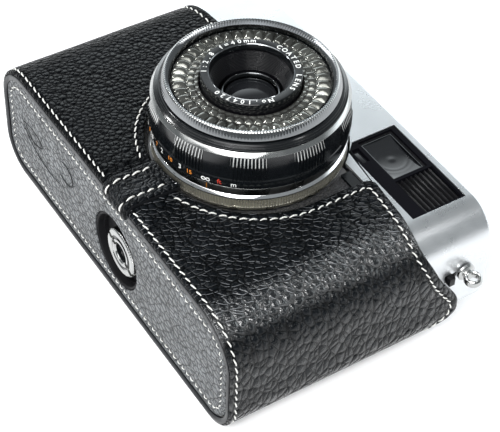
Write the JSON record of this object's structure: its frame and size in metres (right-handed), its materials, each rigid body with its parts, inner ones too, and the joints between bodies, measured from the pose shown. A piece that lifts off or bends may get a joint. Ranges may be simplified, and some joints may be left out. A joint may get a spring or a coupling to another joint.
{
  "type": "viewfinder camera in a half case",
  "caption": "Compact 35 mm viewfinder camera with a ring-shaped light cell round its lens, in a black stitched leather half case, lying on its back.",
  "frame": {"origin": "centre of the object's footprint, on the surface that it lies on", "axes": "+X towards the camera's viewfinder end, +Y from the camera's base to its top cover, +Z out of the lens and up"},
  "size_m": [0.1314, 0.0896, 0.0606],
  "materials": {
    "black_leather": "pebbled, semi-gloss, white stitching",
    "leather_lining": "matte suede lining",
    "satin_chrome": "satin",
    "bright_chrome": "polished",
    "cast_alloy": "cast, matte",
    "black_enamel": "gloss black",
    "black_plastic": "black",
    "matte_black": "matte black",
    "leatherette": "fine-grained vinyl",
    "spring_steel": "plain",
    "olive_alloy": "dulled, finely knurled",
    "lens_glass": "coated, polished",
    "cell_glass": "clear with a lenslet pattern",
    "selenium": "dark grey photocell",
    "dial_white": "white with black figures"
  },
  "bodies": {
    "camera_body": {"chassis": "cast_alloy", "bottom_cover": "satin_chrome", "tripod_socket": "bright_chrome", "top_cover": "satin_chrome", "body_leatherette": "leatherette", "front_trim_left": "black_enamel", "front_trim_right": "black_enamel", "hinge_pin": "spring_steel", "strap_lug_left": "bright_chrome", "strap_lug_right": "bright_chrome", "window_frame": "black_plastic", "rib_grille": "black_plastic", "viewfinder_lens": "lens_glass", "finder_tube": "matte_black", "eyepiece_frame": "black_plastic", "eyepiece_lens": "lens_glass", "button_collar": "satin_chrome", "button_spring": "spring_steel", "hot_shoe": "satin_chrome", "shoe_contact": "bright_chrome", "counter_window": "lens_glass", "meter_unit": "black_plastic", "lens_flange": "bright_chrome", "lens_barrel": "black_enamel", "front_barrel": "black_enamel", "cell_window": "cell_glass", "selenium_cell": "selenium", "name_ring": "black_enamel", "baffle": "matte_black", "middle_element": "lens_glass", "rear_element": "lens_glass", "shutter_housing": "matte_black"},
    "half_case": {"case_left_panel": "black_leather", "case_right_panel": "black_leather", "case_bottom_panel": "black_leather", "case_base_board": "leather_lining", "case_centre_strip": "black_leather"},
    "case_screw": {"case_screw": "bright_chrome"},
    "back_door": {"back_door": "satin_chrome", "door_leatherette": "leatherette", "pressure_spring": "spring_steel"},
    "pressure_plate": {"pressure_plate": "matte_black"},
    "back_latch": {"back_latch": "black_plastic"},
    "shutter_button": {"shutter_button": "bright_chrome"},
    "shutter_blade_a": {"shutter_blade_a": "matte_black"},
    "shutter_blade_b": {"shutter_blade_b": "matte_black"},
    "rewind_sleeve": {"rewind_sleeve": "spring_steel"},
    "rewind_knob": {"rewind_knob": "satin_chrome", "rewind_shaft": "bright_chrome"},
    "rewind_crank": {"rewind_crank": "bright_chrome"},
    "take_up_spool": {"take_up_spool": "black_plastic"},
    "advance_wheel": {"advance_wheel": "black_plastic"},
    "sprocket_drum": {"sprocket_drum": "black_plastic"},
    "counter_dial": {"counter_dial": "dial_white"},
    "rewind_release_button": {"rewind_release_button": "bright_chrome"},
    "aperture_ring": {"aperture_ring": "olive_alloy"},
    "focus_ring": {"focus_ring": "black_enamel"},
    "front_cell": {"front_cell_ring": "bright_chrome", "front_element": "lens_glass"},
    "filmspeed_ring": {"filmspeed_ring": "bright_chrome"}
  },
  "joints": [
    {"name": "case_lift_off", "type": "slide", "parent": "camera_body", "child": "half_case", "axis": [0, -1, 0], "range_m": [0, 0.085]},
    {"name": "case_screw_turn", "type": "hinge", "parent": "half_case", "child": "case_screw", "pos_m": [0.0044, -0.03587, 0.01615], "axis": [0, 1, 0], "continuous": true},
    {"name": "door_swing", "type": "hinge", "parent": "camera_body", "child": "back_door", "pos_m": [-0.0552, -0.03587, 0.00285], "axis": [0, 1, 0], "range_deg": [0, 100]},
    {"name": "pressure_plate_float", "type": "slide", "parent": "back_door", "child": "pressure_plate", "axis": [0, 0, -1], "range_m": [0, 0.0004], "stiffness_N_per_m": 300, "springref_m": -0.001, "deforming": ["pressure_spring"]},
    {"name": "latch_slide", "type": "slide", "parent": "camera_body", "child": "back_latch", "axis": [0, 1, 0], "range_m": [0, 0.0012], "stiffness_N_per_m": 150, "springref_m": -0.001},
    {"name": "button_press", "type": "slide", "parent": "camera_body", "child": "shutter_button", "axis": [0, -1, 0], "range_m": [0, 0.0025], "stiffness_N_per_m": 150, "springref_m": -0.003, "deforming": ["button_spring"]},
    {"name": "blade_a_swing", "type": "hinge", "parent": "camera_body", "child": "shutter_blade_a", "pos_m": [0.00247, -0.01306, 0.04155], "axis": [0, 0, 1], "range_deg": [0, 36]},
    {"name": "blade_b_swing", "type": "hinge", "parent": "camera_body", "child": "shutter_blade_b", "pos_m": [0.00247, -0.01306, 0.04255], "axis": [0, 0, 1], "range_deg": [-36, 0]},
    {"name": "rewind_lift", "type": "slide", "parent": "camera_body", "child": "rewind_sleeve", "axis": [0, 1, 0], "range_m": [0, 0.006]},
    {"name": "rewind_turn", "type": "hinge", "parent": "rewind_sleeve", "child": "rewind_knob", "pos_m": [0.043, 0.03712, 0.01925], "axis": [0, 1, 0], "continuous": true},
    {"name": "crank_fold", "type": "hinge", "parent": "rewind_knob", "child": "rewind_crank", "pos_m": [0.0376, 0.04362, 0.01925], "axis": [0, 0, 1], "range_deg": [0, 175]},
    {"name": "spool_turn", "type": "hinge", "parent": "camera_body", "child": "take_up_spool", "pos_m": [-0.043, -0.01588, 0.01725], "axis": [0, 1, 0], "continuous": true},
    {"name": "wheel_turn", "type": "hinge", "parent": "camera_body", "child": "advance_wheel", "pos_m": [-0.044, 0.01912, 0.01175], "axis": [0, 1, 0], "continuous": true},
    {"name": "sprocket_turn", "type": "hinge", "parent": "camera_body", "child": "sprocket_drum", "pos_m": [-0.02475, -0.01588, 0.01075], "axis": [0, 1, 0], "continuous": true},
    {"name": "dial_turn", "type": "hinge", "parent": "camera_body", "child": "counter_dial", "pos_m": [-0.049, 0.03413, 0.01625], "axis": [0, 1, 0], "continuous": true},
    {"name": "release_press", "type": "slide", "parent": "camera_body", "child": "rewind_release_button", "axis": [0, 1, 0], "range_m": [0, 0.0015], "stiffness_N_per_m": 150, "springref_m": -0.002},
    {"name": "aperture_turn", "type": "hinge", "parent": "camera_body", "child": "aperture_ring", "pos_m": [0.00247, -0.00205, 0.03725], "axis": [0, 0, 1], "range_deg": [0, 75]},
    {"name": "focus_turn", "type": "hinge", "parent": "camera_body", "child": "focus_ring", "pos_m": [0.00247, -0.00205, 0.03725], "axis": [0, 0, 1], "range_deg": [0, 95]},
    {"name": "front_cell_extend", "type": "slide", "parent": "camera_body", "child": "front_cell", "axis": [0, 0, 1], "range_m": [0, 0.0012]},
    {"name": "filmspeed_turn", "type": "hinge", "parent": "camera_body", "child": "filmspeed_ring", "pos_m": [0.00247, -0.00205, 0.03725], "axis": [0, 0, 1], "range_deg": [-60, 60]}
  ],
  "couplings": [
    {"joint": "blade_a_swing", "follows": "button_press", "rad_per_m": 220},
    {"joint": "blade_b_swing", "follows": "button_press", "rad_per_m": -220},
    {"joint": "wheel_turn", "follows": "spool_turn", "ratio": 1},
    {"joint": "sprocket_turn", "follows": "spool_turn", "ratio": -1.25},
    {"joint": "dial_turn", "follows": "spool_turn", "ratio": -0.05},
    {"joint": "front_cell_extend", "follows": "focus_turn", "m_per_rad": 0.00072}
  ]
}
